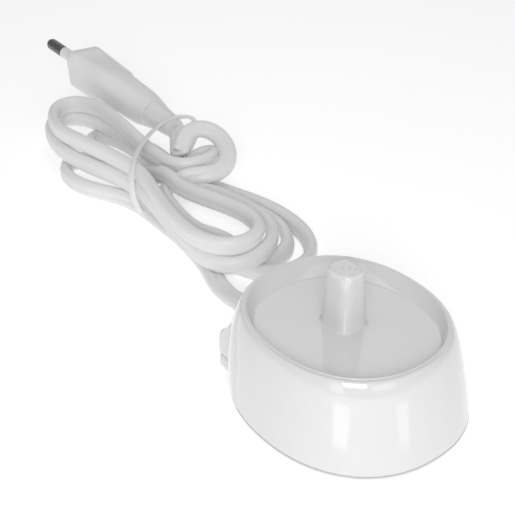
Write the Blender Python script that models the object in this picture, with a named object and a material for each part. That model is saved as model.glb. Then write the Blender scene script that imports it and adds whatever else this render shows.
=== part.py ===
"""Inductive charging stand for an electric toothbrush, with its tied mains cord and two-pin plug.

Metres, +Z up, the stand on z = 0. +Y points to the rear, where the cord leaves. The origin is the
middle of the stand's underside.
"""

import bmesh
import bpy
from math import cos, pi, radians, sin

from mathutils import Matrix, Vector

# ---------------------------------------------------------------- stand, outer sizes (metres)
MM = 0.001
GAP = 0.3 * MM                      # clearance between neighbouring pieces
RIM_Z = 24.0 * MM                   # height of the rim above the table
RIM_HALF_X = 21.9 * MM              # rim oval, half width
RIM_HALF_Y = 24.9 * MM              # rim oval, half length
OVAL_POWER = 2.2                    # superellipse power of every section of the stand
FLARE = 5.0 * MM                    # how far the wall spreads between the rim and the foot
FLARE_POWER = 0.44                  # below 1 bulges the wall outward under the rim
RIM_Y = 2.0 * MM                    # centre of the rim oval
FOOT_SHIFT = -2.4 * MM              # the foot oval sits this far forward of the rim oval
FOOT_ROUND = 1.4 * MM               # rounded lower edge of the base plate
WALL = 1.8 * MM                     # moulding thickness
SEAM_Z = 1.5 * MM                   # lower edge of the housing wall
DISH_DEPTH = 2.8 * MM               # floor of the dish below the rim
DISH_RUN = 2.6 * MM                 # width of the sloping dish wall
RIM_LAND = 0.7 * MM                 # width of the rounded rim edge
CREASE_RISE = 0.7 * MM              # the rear of the wall stands this proud of the front
CREASE_Y = 16.8 * MM                # crease at rim height, behind the rim centre
CREASE_LEAN = 0.3                   # the crease runs forward as it goes down

# ---------------------------------------------------------------- charging post
POST_Y = 2.7 * MM
POST_HEIGHT = 15.2 * MM             # above the dish floor
POST_TOP_X = 3.35 * MM
POST_TOP_Y = 3.95 * MM
POST_SPREAD = 0.95 * MM             # extra half width at the foot
POST_POWER = 3.4
POST_ROUND = 0.9 * MM               # rounded top edge
POST_WALL = 1.05 * MM

# ---------------------------------------------------------------- rear block, where the cord leaves
BLOCK_HALF_X = 16.8 * MM
BLOCK_REAR_Y = 30.1 * MM
BLOCK_TOP_Z = 15.5 * MM
BLOCK_ROUND = 6.5 * MM
BLOCK_SPLIT_Z = 3.7 * MM            # parting line of the block
CORD_Z = 5.6 * MM                   # axis of the cord where it leaves

# ---------------------------------------------------------------- cord and plug
CORD_WIDTH = 5.7 * MM
PIN_D = 4.0 * MM
PIN_LENGTH = 19.0 * MM
PIN_PITCH = 18.8 * MM
SLEEVE_LENGTH = 10.0 * MM
PLUG_WIDTH = 35.3 * MM
PLUG_THICK = 16.0 * MM
PLUG_LENGTH = 35.0 * MM
PLUG_END_WIDTH = 12.8 * MM
PLUG_END_THICK = 9.8 * MM
PLUG_AT = Vector((36.1, 172.2, 15.9)) * MM      # centre of the pin face
PLUG_TURN = radians(-2.7)           # heading, from +Y toward +X
PLUG_TILT = radians(5.0)            # nose up
PLUG_ROLL = radians(45.0)           # rolled on its long axis
RELIEF_LENGTH = 13.0 * MM
TIE_WIDTH = 2.0 * MM
TIE_THICK = 0.9 * MM

DISH_Z = RIM_Z - DISH_DEPTH
POST_TOP_Z = DISH_Z + POST_HEIGHT
INNER_TOP_Z = DISH_Z - WALL
SEGMENTS = 96


def clear_scene():
    for obj in list(bpy.data.objects):
        bpy.data.objects.remove(obj, do_unlink=True)
    for block in (bpy.data.meshes, bpy.data.curves, bpy.data.materials):
        for item in list(block):
            block.remove(item)


def material(name, colour, roughness, metallic=0.0):
    mat = bpy.data.materials.new(name)
    mat.use_nodes = True
    shader = mat.node_tree.nodes["Principled BSDF"]
    shader.inputs["Base Color"].default_value = (*colour, 1.0)
    shader.inputs["Roughness"].default_value = roughness
    shader.inputs["Metallic"].default_value = metallic
    return mat


def finish(bm, name, mat, smooth=True):
    """Turns a bmesh into a named object with one material and outward faces."""
    bmesh.ops.recalc_face_normals(bm, faces=bm.faces[:])
    mesh = bpy.data.meshes.new(name)
    bm.to_mesh(mesh)
    bm.free()
    mesh.materials.append(mat)
    for face in mesh.polygons:
        face.use_smooth = smooth
    obj = bpy.data.objects.new(name, mesh)
    bpy.context.scene.collection.objects.link(obj)
    if smooth:
        mesh.shade_smooth()
        mesh.set_sharp_from_angle(angle=radians(38))
    return obj


def loft(rings, name, mat, smooth=True):
    """Closed solid through rings of equal length, with a flat cap on the first and the last ring."""
    bm = bmesh.new()
    rows = [[bm.verts.new(point) for point in ring] for ring in rings]
    count = len(rows[0])
    for low, high in zip(rows, rows[1:]):
        for i in range(count):
            j = (i + 1) % count
            bm.faces.new((low[i], low[j], high[j], high[i]))
    bm.faces.new(rows[0][::-1])
    bm.faces.new(rows[-1])
    return finish(bm, name, mat, smooth)


def box(name, mat, centre, size, bevel=0.3 * MM, turn=None):
    bm = bmesh.new()
    bmesh.ops.create_cube(bm, size=1.0)
    bmesh.ops.scale(bm, vec=size, verts=bm.verts)
    if bevel:
        bmesh.ops.bevel(bm, geom=bm.edges[:], offset=bevel, segments=2, affect="EDGES", profile=0.5)
    matrix = Matrix.Translation(centre)
    if turn:
        matrix = matrix @ turn
    bm.transform(matrix)
    return finish(bm, name, mat)


def lathe(name, mat, profile, centre, turn=None, segments=32):
    """Solid of revolution about local Z. The profile is (radius, height) pairs with no zero radius."""
    rings = [
        [(r * cos(2 * pi * i / segments), r * sin(2 * pi * i / segments), z) for i in range(segments)]
        for r, z in profile
    ]
    obj = loft(rings, name, mat)
    matrix = Matrix.Translation(centre)
    if turn:
        matrix = matrix @ turn
    obj.data.transform(matrix)
    return obj


def ring_lathe(name, mat, profile, centre, turn=None, segments=32):
    """Ring of revolution: the profile is a closed loop of (radius, height) pairs."""
    bm = bmesh.new()
    rows = []
    for r, z in profile:
        rows.append([
            bm.verts.new((r * cos(2 * pi * i / segments), r * sin(2 * pi * i / segments), z))
            for i in range(segments)
        ])
    for k in range(len(rows)):
        low, high = rows[k], rows[(k + 1) % len(rows)]
        for i in range(segments):
            j = (i + 1) % segments
            bm.faces.new((low[i], low[j], high[j], high[i]))
    matrix = Matrix.Translation(centre)
    if turn:
        matrix = matrix @ turn
    bm.transform(matrix)
    return finish(bm, name, mat)


def tube(name, mat, points, radius, resolution=3):
    """Cord or wire through hand-set points, closed at both ends."""
    curve = bpy.data.curves.new(name, "CURVE")
    curve.dimensions = "3D"
    curve.bevel_depth = radius
    curve.bevel_resolution = resolution
    curve.use_fill_caps = True
    spline = curve.splines.new("POLY")
    spline.points.add(len(points) - 1)
    for slot, point in zip(spline.points, points):
        slot.co = (*point, 1.0)
    curve.materials.append(mat)
    obj = bpy.data.objects.new(name, curve)
    bpy.context.scene.collection.objects.link(obj)
    spline.use_smooth = True
    return obj


def smooth_path(points, step):
    """Even points along a Catmull-Rom curve through the given points."""
    dense = []
    ends = [points[0] * 2 - points[1], *points, points[-1] * 2 - points[-2]]
    for a, b, c, d in zip(ends, ends[1:], ends[2:], ends[3:]):
        for k in range(24):
            t = k / 24
            dense.append(0.5 * (2 * b + (c - a) * t + (2 * a - 5 * b + 4 * c - d) * t * t
                                + (3 * b - a - 3 * c + d) * t ** 3))
    dense.append(points[-1])
    total = sum((q - p).length for p, q in zip(dense, dense[1:]))
    count = max(2, round(total / step))
    spacing = total / count
    out = [dense[0]]
    walked = 0.0
    for p, q in zip(dense, dense[1:]):
        walked += (q - p).length
        if walked >= spacing * len(out) - 1e-9 and len(out) < count:
            out.append(q)
    out.append(dense[-1])
    return out


def combine(obj, other, operation):
    modifier = obj.modifiers.new(operation.title(), "BOOLEAN")
    modifier.operation = operation
    modifier.object = other
    modifier.solver = "EXACT"
    other.hide_render = True
    other.hide_set(True)
    other.display_type = "WIRE"


# ---------------------------------------------------------------- sections of the stand
def spread(z):
    return FLARE * max(0.0, 1.0 - z / RIM_Z) ** FLARE_POWER


def centre_y(z):
    return RIM_Y + FOOT_SHIFT * (1.0 - min(z, RIM_Z) / RIM_Z)


def oval(half_x, half_y, z, mid_y, power=OVAL_POWER, count=SEGMENTS):
    ring = []
    for i in range(count):
        a = 2 * pi * (i + 0.5) / count
        c, s = cos(a), sin(a)
        x = half_x * abs(c) ** (2 / power) * (1 if c > 0 else -1)
        y = half_y * abs(s) ** (2 / power) * (1 if s > 0 else -1)
        ring.append(Vector((x, mid_y + y, z)))
    return ring


def wall_ring(z, inset=0.0, crease=False):
    """Section of the stand's wall at height z, moved in by inset."""
    half_x = RIM_HALF_X + spread(z) - inset
    half_y = RIM_HALF_Y + spread(z) - inset
    ring = oval(half_x, half_y, z, centre_y(z))
    if not crease:
        return ring
    line = RIM_Y + CREASE_Y - CREASE_LEAN * (RIM_Z - z)
    rise = CREASE_RISE * sin(pi * min(1.0, max(0.0, 1.0 - z / RIM_Z))) ** 0.7
    for point in ring:
        if point.y > line:
            out = Vector((point.x / half_x, (point.y - centre_y(z)) / half_y, 0.0)).normalized()
            point += out * rise
    return ring


def post_ring(t, z, inset=0.0):
    """Section of the post: t is 0 at the top and 1 at the foot."""
    grow = POST_SPREAD * t - inset
    return oval(POST_TOP_X + grow, POST_TOP_Y + grow, z, POST_Y, POST_POWER)


def make_housing(mat):
    rings = []
    # hollow of the post, from its crown down
    crown = POST_TOP_Z - POST_WALL
    rings.append(post_ring(0.0, crown, POST_WALL + 0.6 * MM))
    rings.append(post_ring(0.0, crown - 0.5 * MM, POST_WALL))
    rings.append(post_ring(1.0, DISH_Z - 0.2 * MM, POST_WALL))
    rings.append(post_ring(1.0, INNER_TOP_Z, POST_WALL - 0.6 * MM))
    # underside of the dish, then down the inner wall
    under = RIM_HALF_X - DISH_RUN - WALL
    ratio = (RIM_HALF_Y - DISH_RUN - WALL) / under
    rings.append(oval(under * 0.6, under * 0.6 * ratio, INNER_TOP_Z, RIM_Y))
    rings.append(oval(under, under * ratio, INNER_TOP_Z, RIM_Y))
    for z in (RIM_Z * 0.8, RIM_Z * 0.66, RIM_Z * 0.5, RIM_Z * 0.33, RIM_Z * 0.18, SEAM_Z):
        rings.append(wall_ring(z, WALL))
    # outer wall, up to the rounded rim
    for f in (0.0, 0.06, 0.14, 0.24, 0.36, 0.48, 0.6, 0.7, 0.79, 0.87, 0.93, 0.97, 0.99):
        z = SEAM_Z + (RIM_Z - 0.25 * MM - SEAM_Z) * f
        rings.append(wall_ring(z, 0.0, crease=True))
    rings.append(wall_ring(RIM_Z - 0.02 * MM, 0.22 * MM))
    rings.append(oval(RIM_HALF_X - RIM_LAND * 0.6, RIM_HALF_Y - RIM_LAND * 0.6, RIM_Z, RIM_Y))
    rings.append(oval(RIM_HALF_X - RIM_LAND, RIM_HALF_Y - RIM_LAND, RIM_Z - 0.2 * MM, RIM_Y))
    # sloping dish wall and floor
    foot = RIM_LAND + DISH_RUN
    rings.append(oval(RIM_HALF_X - foot + 0.5 * MM, RIM_HALF_Y - foot + 0.5 * MM, DISH_Z + 0.3 * MM, RIM_Y))
    rings.append(oval(RIM_HALF_X - foot, RIM_HALF_Y - foot, DISH_Z, RIM_Y))
    rings.append(oval(RIM_HALF_X * 0.5, RIM_HALF_Y * 0.5, DISH_Z, (RIM_Y + POST_Y) / 2))
    rings.append(post_ring(1.0, DISH_Z, -0.8 * MM))
    rings.append(post_ring(1.0, DISH_Z + 0.25 * MM, -0.2 * MM))
    rings.append(post_ring(0.93, DISH_Z + 1.2 * MM))
    rings.append(post_ring(0.5, DISH_Z + POST_HEIGHT * 0.5))
    rings.append(post_ring(0.05, POST_TOP_Z - POST_ROUND))
    rings.append(post_ring(0.0, POST_TOP_Z - POST_ROUND * 0.35, POST_ROUND * 0.25))
    rings.append(post_ring(0.0, POST_TOP_Z, POST_ROUND))
    housing = loft(rings, "housing", mat)
    return housing


def block_solid(name, mat, inset, low, high, front):
    """Rear block: a side profile drawn out across X, with rounded edges."""
    rear = BLOCK_REAR_Y - inset
    top = min(high, BLOCK_TOP_Z - inset)
    round_ = max(BLOCK_ROUND - inset, 1.0 * MM)
    profile = [(front, low), (rear, low)]
    if top > BLOCK_TOP_Z - inset - 1e-6:
        for k in range(9):
            a = pi / 2 * k / 8
            profile.append((rear - round_ * 0.8 * (1 - cos(a)), top - round_ * (1 - sin(a))))
    else:
        profile.append((rear, top))
    profile.append((front, top))
    half = BLOCK_HALF_X - inset
    taper = 0.6 * MM
    bm = bmesh.new()
    ends = []
    for side in (-1, 1):
        ends.append([
            bm.verts.new((side * (half + taper * (rear - y) / (rear - front)), y, z)) for y, z in profile
        ])
    count = len(profile)
    for i in range(count):
        j = (i + 1) % count
        bm.faces.new((ends[0][i], ends[0][j], ends[1][j], ends[1][i]))
    bm.faces.new(ends[0][::-1])
    bm.faces.new(ends[1])
    bmesh.ops.recalc_face_normals(bm, faces=bm.faces[:])
    if inset == 0.0:
        rim = [e for e in bm.edges if abs(e.verts[0].co.x - e.verts[1].co.x) < 0.5 * half
               and min(v.co.y for v in e.verts) > front + 0.5 * MM
               and (e.verts[0].co - e.verts[1].co).length > 0.0
               and (max(v.co.z for v in e.verts) > low + 1e-6)]
        bmesh.ops.bevel(bm, geom=rim, offset=0.8 * MM, segments=2, affect="EDGES", profile=0.5)
    return finish(bm, name, mat)


def build_stand(mats):
    white = mats["white"]
    housing = make_housing(white)
    front = 14.0 * MM
    upper = block_solid("cut_block_upper", white, 0.0, BLOCK_SPLIT_Z + GAP / 2, BLOCK_TOP_Z, front)
    combine(housing, upper, "UNION")
    hollow = block_solid("cut_block_hollow", white, WALL, -1.0 * MM, BLOCK_TOP_Z, front - 2.0 * MM)
    combine(housing, hollow, "DIFFERENCE")
    slot_size = (CORD_WIDTH + 4.6 * MM, 6.0 * MM, CORD_WIDTH + 2.3 * MM)
    slot_at = Vector((0.0, BLOCK_REAR_Y, CORD_Z))
    combine(housing, box("cut_cord_slot", white, slot_at, slot_size, 0.0), "DIFFERENCE")

    # base plate with the lower half of the rear block
    plate_top = SEAM_Z - GAP
    rings = []
    for k in range(6):
        a = pi / 2 * k / 5
        rings.append(wall_ring(FOOT_ROUND * (1 - cos(a)) * 0.75, FOOT_ROUND * (1 - sin(a))))
    rings.append(wall_ring(plate_top, 0.0))
    plate = loft(rings, "base_plate", white)
    lower = block_solid("cut_block_lower", white, 0.0, 0.0, BLOCK_SPLIT_Z - GAP / 2, front)
    keep = loft([wall_ring(z, -GAP - CREASE_RISE) for z in (plate_top - 0.1 * MM, BLOCK_SPLIT_Z + 1.0 * MM)],
                "cut_wall_clear", white)
    combine(lower, keep, "DIFFERENCE")
    combine(plate, lower, "UNION")
    combine(plate, box("cut_cord_slot_low", white, slot_at, slot_size, 0.0), "DIFFERENCE")
    return housing, plate


def build_inside(mats):
    """Coil, board and parts under the dish."""
    axis = Vector((0.0, POST_Y, 0.0))
    board_z = 4.4 * MM
    board_t = 1.2 * MM
    top = board_z + board_t + 0.15 * MM
    core_r = 1.0 * MM
    tube_in = core_r + 0.12 * MM
    tube_out = tube_in + 0.3 * MM
    coil_in = tube_out + 0.12 * MM
    coil_out = POST_TOP_X - POST_WALL - GAP
    core_top = POST_TOP_Z - POST_WALL - 1.0 * MM
    foot_r = 5.2 * MM
    lathe("ferrite_core", mats["ferrite"],
          [(core_r - 0.2 * MM, top + 1.5 * MM), (core_r, top + 1.7 * MM), (core_r, core_top - 0.2 * MM),
           (core_r - 0.2 * MM, core_top)], axis, segments=24)
    cap_z = core_top - 0.6 * MM
    ring_lathe("coil_bobbin", mats["natural"],
               [(tube_in, top), (foot_r, top), (foot_r, top + 1.2 * MM), (tube_out, top + 1.2 * MM),
                (tube_out, INNER_TOP_Z - 1.6 * MM), (foot_r, INNER_TOP_Z - 1.6 * MM),
                (foot_r, INNER_TOP_Z - 0.8 * MM), (tube_out, INNER_TOP_Z - 0.8 * MM),
                (tube_out, cap_z), (coil_out, cap_z), (coil_out, cap_z + 0.5 * MM),
                (tube_in, cap_z + 0.5 * MM)],
               axis, segments=24)
    for name, low, high, radius in (
        ("primary_coil", INNER_TOP_Z - 0.6 * MM, cap_z - 0.2 * MM, coil_out),
        ("feedback_coil", top + 1.4 * MM, INNER_TOP_Z - 1.8 * MM, foot_r - 0.6 * MM),
    ):
        ring_lathe(name, mats["copper"], [(coil_in, low), (radius, low), (radius, high), (coil_in, high)],
                   axis, segments=24)

    board = oval(15.5 * MM, 20.0 * MM, board_z, RIM_Y - 1.5 * MM, 3.0, 48)
    loft([board, [p + Vector((0, 0, board_t)) for p in board]], "circuit_board", mats["board"])
    flat = Matrix.Rotation(pi / 2, 4, "Y")
    lathe("electrolytic_capacitor", mats["sleeve"],
          [(3.0 * MM, 0.0), (3.6 * MM, 0.3 * MM), (3.6 * MM, 10.4 * MM), (3.2 * MM, 10.9 * MM)],
          Vector((-9.6 * MM, -7.0 * MM, top)))
    lathe("choke", mats["ferrite"],
          [(3.2 * MM, 0.0), (3.2 * MM, 1.0 * MM), (2.5 * MM, 1.6 * MM), (2.5 * MM, 6.2 * MM),
           (3.2 * MM, 6.8 * MM), (3.2 * MM, 7.8 * MM)], Vector((-9.8 * MM, 5.5 * MM, top)))
    box("film_capacitor", mats["yellow"], Vector((9.6, -7.0, 0)) * MM + Vector((0, 0, top + 3.6 * MM)),
        Vector((5.0, 9.6, 7.2)) * MM)
    box("power_transistor", mats["black"], Vector((9.4, 4.2, 0)) * MM + Vector((0, 0, top + 2.4 * MM)),
        Vector((4.6, 3.6, 4.8)) * MM)
    lathe("ceramic_capacitor", mats["blue"],
          [(1.4 * MM, -0.9 * MM), (2.2 * MM, -0.5 * MM), (2.2 * MM, 0.5 * MM), (1.4 * MM, 0.9 * MM)],
          Vector((9.4 * MM, 9.6 * MM, top + 2.3 * MM)), flat)
    lathe("fusible_resistor", mats["sand"],
          [(1.1 * MM, -4.0 * MM), (1.5 * MM, -3.6 * MM), (1.5 * MM, 3.6 * MM), (1.1 * MM, 4.0 * MM)],
          Vector((0.0, 12.6 * MM, top + 1.6 * MM)), flat)
    for k in range(4):
        lathe("rectifier_diode_%d" % (k + 1), mats["black"],
              [(0.8 * MM, -2.0 * MM), (1.1 * MM, -1.8 * MM), (1.1 * MM, 1.8 * MM), (0.8 * MM, 2.0 * MM)],
              Vector((0.0, (-14.0 + 3.0 * k) * MM, top + 1.2 * MM)), flat, 20)
    for name, side in (("live_wire", -1), ("neutral_wire", 1)):
        z = CORD_Z + 3.2 * MM
        points = [Vector((side * 1.6 * MM, 20.9 * MM, CORD_Z + 1.6 * MM)),
                  Vector((side * 2.6 * MM, 19.4 * MM, z)),
                  Vector((side * 4.2 * MM, 18.0 * MM, z + 0.8 * MM)), Vector((side * 5.6 * MM, 16.8 * MM, z)),
                  Vector((side * 5.9 * MM, 16.2 * MM, top + 0.4 * MM))]
        tube(name, mats["brown" if side < 0 else "blue"], smooth_path(points, 1.2 * MM), 0.6 * MM, 2)
    return top


def build_cord_exit(mats):
    """Moulded relief that is held in the rear block and tapers along the cord."""
    y0 = BLOCK_REAR_Y
    neck = CORD_WIDTH / 2 + 1.4 * MM
    stations = (
        (y0 - 6.5 * MM, neck - 0.6 * MM), (y0 - 6.1 * MM, neck), (y0 - WALL - 0.5 * MM, neck),
        (y0 + GAP, neck - 0.1 * MM), (y0 + 1.0 * MM, neck - 0.1 * MM), (y0 + 4.0 * MM, neck - 0.7 * MM),
        (y0 + 9.0 * MM, CORD_WIDTH / 2 + 0.3 * MM), (y0 + 10.5 * MM, CORD_WIDTH / 2),
    )
    rings = []
    for y, half in stations:
        drop = 1.2 * MM * max(0.0, (y - y0) / (10.5 * MM)) ** 1.5
        ring = []
        for i in range(32):
            a = 2 * pi * i / 32
            c, s = cos(a), sin(a)
            x = half * 1.05 * abs(c) ** 0.75 * (1 if c > 0 else -1)
            z = half * 0.86 * abs(s) ** 0.75 * (1 if s > 0 else -1)
            ring.append(Vector((x, y, CORD_Z - drop + z)))
        rings.append(ring)
    loft(rings, "cord_relief", mats["cord"])
    box("cord_clamp", mats["natural"], Vector((0.0, y0 - 7.0 * MM - GAP - 1.0 * MM, CORD_Z - 0.4 * MM)),
        (8.4 * MM, 1.6 * MM, 3.0 * MM))
    return Vector((0.0, y0 + 10.5 * MM + 1.5 * GAP, CORD_Z - 1.2 * MM))


def plug_frame():
    nose = Vector((sin(PLUG_TURN) * cos(PLUG_TILT), cos(PLUG_TURN) * cos(PLUG_TILT), sin(PLUG_TILT)))
    side = nose.cross(Vector((0, 0, 1))).normalized()
    lift = side.cross(nose)
    wide = side * cos(PLUG_ROLL) - lift * sin(PLUG_ROLL)
    thick = side * sin(PLUG_ROLL) + lift * cos(PLUG_ROLL)
    return nose, wide, thick


def plug_ring(back, half_w, half_t, count=48):
    """Section of the plug, a soft six-sided outline, at a distance behind the pin face."""
    nose, wide, thick = plug_frame()
    ring = []
    for i in range(count):
        a = 2 * pi * (i + 0.5) / count
        c, s = cos(a), sin(a)
        w = half_w * abs(c) ** 0.95 * (1 if c > 0 else -1)
        t = half_t * abs(s) ** 0.62 * (1 if s > 0 else -1)
        ring.append(PLUG_AT - nose * back + wide * w + thick * t)
    return ring


def build_plug(mats):
    nose, wide, thick = plug_frame()
    half_w, half_t = PLUG_WIDTH / 2, PLUG_THICK / 2
    end_w, end_t = PLUG_END_WIDTH / 2, PLUG_END_THICK / 2
    rings = []
    for back, w, t in (
        (0.0, half_w - 2.6 * MM, half_t - 2.0 * MM), (0.5 * MM, half_w - 1.4 * MM, half_t - 1.1 * MM),
        (1.9 * MM, half_w - 0.2 * MM, half_t - 0.2 * MM), (4.0 * MM, half_w, half_t),
        (8.0 * MM, half_w - 0.4 * MM, half_t), (PLUG_LENGTH * 0.45, half_w * 0.83, half_t * 0.98),
        (PLUG_LENGTH * 0.7, half_w * 0.62, half_t * 0.86), (PLUG_LENGTH * 0.9, end_w * 1.12, end_t * 1.12),
        (PLUG_LENGTH * 0.98, end_w, end_t), (PLUG_LENGTH, end_w - 0.8 * MM, end_t - 0.8 * MM),
    ):
        rings.append(plug_ring(back, w, t))
    body = loft(rings, "plug_body", mats["white"])
    turn = Matrix((wide, -thick, nose)).transposed().to_4x4()
    pocket_depth = 8.0 * MM
    bridge_at = PLUG_AT - nose * (pocket_depth / 2)
    pocket = (25.0 * MM, 8.0 * MM, pocket_depth + 0.4 * MM)
    combine(body, box("cut_plug_pocket", mats["white"], bridge_at, pocket, 0.0, turn), "DIFFERENCE")
    bridge_size = (pocket[0] - 2 * GAP, pocket[1] - 2 * GAP, pocket_depth - 2 * GAP)
    bridge = box("plug_bridge", mats["natural"], bridge_at, bridge_size, 0.0, turn)
    for k, side in enumerate((-1, 1)):
        root = PLUG_AT + wide * side * PIN_PITCH / 2
        r = PIN_D / 2
        sleeve = lathe("pin_sleeve_%d" % (k + 1), mats["white"],
                       [(r, GAP), (r, SLEEVE_LENGTH - 0.2 * MM), (r - 0.2 * MM, SLEEVE_LENGTH)], root, turn, 28)
        hole = lathe("cut_sleeve_%d" % (k + 1), mats["white"],
                     [(1.45 * MM, -1.0 * MM), (1.45 * MM, SLEEVE_LENGTH + 1.0 * MM)], root, turn, 28)
        combine(sleeve, hole, "DIFFERENCE")
        lathe("pin_%d" % (k + 1), mats["nickel"],
              [(1.3 * MM, -6.0 * MM), (1.3 * MM, SLEEVE_LENGTH + 0.15 * MM), (r, SLEEVE_LENGTH + GAP),
               (r, PIN_LENGTH - 1.3 * MM), (r * 0.8, PIN_LENGTH - 0.4 * MM), (r * 0.45, PIN_LENGTH)],
              root, turn, 28)
        combine(bridge, lathe("cut_pin_%d" % (k + 1), mats["white"],
                              [(1.3 * MM + 0.15 * MM, -6.2 * MM), (1.3 * MM + 0.15 * MM, 3.0 * MM)],
                              root, turn, 28), "DIFFERENCE")
    # tail that follows the cord away from the plug
    rings = []
    for t, w, h in ((0.0, 5.8, 4.4), (0.2, 5.5, 4.2), (0.6, 4.7, 3.8), (0.9, 3.9, 3.3), (1.0, 3.4, 2.9)):
        back = PLUG_LENGTH + GAP + RELIEF_LENGTH * t
        lift = Vector((-1.0, 0.0, 0.6)) * MM * t * t * 1.5
        rings.append([p + lift for p in plug_ring(back, w * MM, h * MM, 32)])
    loft(rings, "plug_relief", mats["white"])
    return PLUG_AT - nose * (PLUG_LENGTH + 3.5 * GAP + RELIEF_LENGTH) + Vector((-1.5, 0.0, 0.9)) * MM


def hank_ring(y, x, z, half_w, half_h, count=32):
    ring = []
    for i in range(count):
        a = 2 * pi * i / count
        c, s = cos(a), sin(a)
        px = half_w * abs(c) ** 0.7 * (1 if c > 0 else -1)
        pz = half_h * abs(s) ** 0.7 * (1 if s > 0 else -1)
        ring.append(Vector((x + px, y, z + pz)) * MM)
    return ring


def build_cord(mats, exit_at, tail_at):
    cord = mats["cord"]
    stations = (
        (44.5, 25.5, 3.0, 4.0, 1.8), (46.0, 25.0, 3.4, 8.0, 2.8), (50.0, 24.0, 4.8, 12.0, 4.2),
        (54.0, 23.0, 6.6, 14.8, 5.8), (60.0, 21.6, 7.8, 18.2, 7.2), (68.0, 21.4, 7.9, 19.2, 7.4),
        (76.0, 22.2, 7.9, 18.4, 7.4), (85.0, 22.6, 7.9, 16.6, 7.4), (95.0, 21.8, 7.8, 13.8, 7.3),
        (104.0, 20.2, 8.6, 11.8, 6.4), (112.0, 18.6, 8.6, 11.4, 6.3), (120.0, 16.4, 8.3, 13.4, 6.8),
        (129.0, 13.8, 7.9, 15.6, 7.4), (138.0, 13.6, 7.9, 15.4, 7.4), (146.0, 14.6, 7.9, 13.6, 7.4),
        (154.0, 14.6, 8.0, 11.6, 7.4), (160.0, 14.8, 8.2, 9.2, 6.6), (164.0, 15.0, 8.4, 5.4, 4.4),
    )
    loft([hank_ring(*row) for row in stations], "cord_hank", cord)
    # the single run from the stand to the hank
    r = CORD_WIDTH / 2
    path = [exit_at, exit_at + Vector((0.0, 3.0, -0.05)) * MM, Vector((0.4, 48.6, 3.4)) * MM,
            Vector((0.9, 53.0, 3.05)) * MM]
    tube("cord_lead", cord, smooth_path(path, 6.0 * MM), r, 3)
    # the turn between the plug and the hank
    nose = plug_frame()[0]
    turn = [tail_at, tail_at - nose * 4.0 * MM]
    turn += [tail_at + Vector(step) * MM for step in ((3.3, -9.2, 0.4), (5.3, -15.6, 0.7), (4.3, -22.0, 0.4))]
    tube("cord_turn", cord, smooth_path(turn, 5.0 * MM), r, 3)
    build_tie(mats["white"], tail_at)


def build_tie(mat, tail_at):
    """Thin band round the waist of the hank and the tail of the plug."""
    over_tail = ((4.4, -0.8, 3.4), (-1.9, -0.5, 4.9))
    round_hank = ((27.0, 120.6, 17.3), (16.5, 113.8, 17.05), (9.6, 107.6, 15.75), (6.4, 104.2, 11.95),
                  (6.0, 102.4, 6.95), (8.0, 101.8, 2.55), (16.0, 106.0, 1.4), (26.0, 113.0, 1.4),
                  (35.0, 119.0, 2.75))
    beside_tail = ((3.9, -1.0, -7.1), (6.9, 0.0, -3.9), (7.0, 0.0, -0.1))
    route = [tail_at + Vector(step) * MM for step in over_tail]
    route += [Vector(point) * MM for point in round_hank]
    route += [tail_at + Vector(step) * MM for step in beside_tail]
    loop = []
    count = len(route)
    for k in range(count):
        a, b, c, d = [route[(k + j) % count] for j in (-1, 0, 1, 2)]
        for n in range(4):
            t = n / 4
            loop.append(0.5 * (2 * b + (c - a) * t + (2 * a - 5 * b + 4 * c - d) * t * t
                               + (3 * b - a - 3 * c + d) * t ** 3))
    middle = sum(loop, Vector()) / len(loop)
    half = TIE_WIDTH / 2
    rows = [[] for _ in range(4)]
    for i, point in enumerate(loop):
        along = (loop[(i + 1) % len(loop)] - loop[i - 1]).normalized()
        out = (point - middle) - along * (point - middle).dot(along)
        across = along.cross(out).normalized()
        out = across.cross(along).normalized()
        for row, (side, lift) in zip(rows, ((-half, 0.0), (half, 0.0), (half, TIE_THICK), (-half, TIE_THICK))):
            row.append(point + across * side + out * lift)
    bm = bmesh.new()
    rows = [[bm.verts.new(point) for point in row] for row in rows]
    for k in range(4):
        low, high = rows[k], rows[(k + 1) % 4]
        for i in range(len(loop)):
            j = (i + 1) % len(loop)
            bm.faces.new((low[i], low[j], high[j], high[i]))
    finish(bm, "cord_tie", mat)


def main():
    clear_scene()
    mats = {
        "white": material("gloss_white", (0.86, 0.86, 0.85), 0.16),
        "natural": material("natural_nylon", (0.80, 0.78, 0.72), 0.45),
        "cord": material("cord_white", (0.82, 0.82, 0.81), 0.38),
        "nickel": material("nickel_plate", (0.66, 0.65, 0.62), 0.22, 1.0),
        "ferrite": material("ferrite_grey", (0.07, 0.07, 0.08), 0.6),
        "copper": material("enamelled_copper", (0.62, 0.27, 0.11), 0.3, 1.0),
        "board": material("board_tan", (0.55, 0.42, 0.22), 0.55),
        "sleeve": material("capacitor_sleeve", (0.05, 0.06, 0.09), 0.35),
        "yellow": material("film_yellow", (0.75, 0.55, 0.10), 0.4),
        "black": material("epoxy_black", (0.03, 0.03, 0.03), 0.5),
        "blue": material("wire_blue", (0.06, 0.20, 0.50), 0.4),
        "brown": material("wire_brown", (0.22, 0.10, 0.05), 0.4),
        "sand": material("resistor_sand", (0.70, 0.58, 0.40), 0.5),
    }
    build_stand(mats)
    build_inside(mats)
    exit_at = build_cord_exit(mats)
    tail_at = build_plug(mats)
    build_cord(mats, exit_at, tail_at)


main()
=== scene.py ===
"""Charging stand of an electric toothbrush, with its tied flat cord and two-pin plug.

Sizes are in millimetres until a mesh is made, which turns them into metres. +Z is up, the stand
rests on z = 0 and +Y points to its rear, where the cord leaves.
"""

import logging
import math
from dataclasses import dataclass, field
from enum import Enum
from typing import Iterable, Sequence

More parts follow.
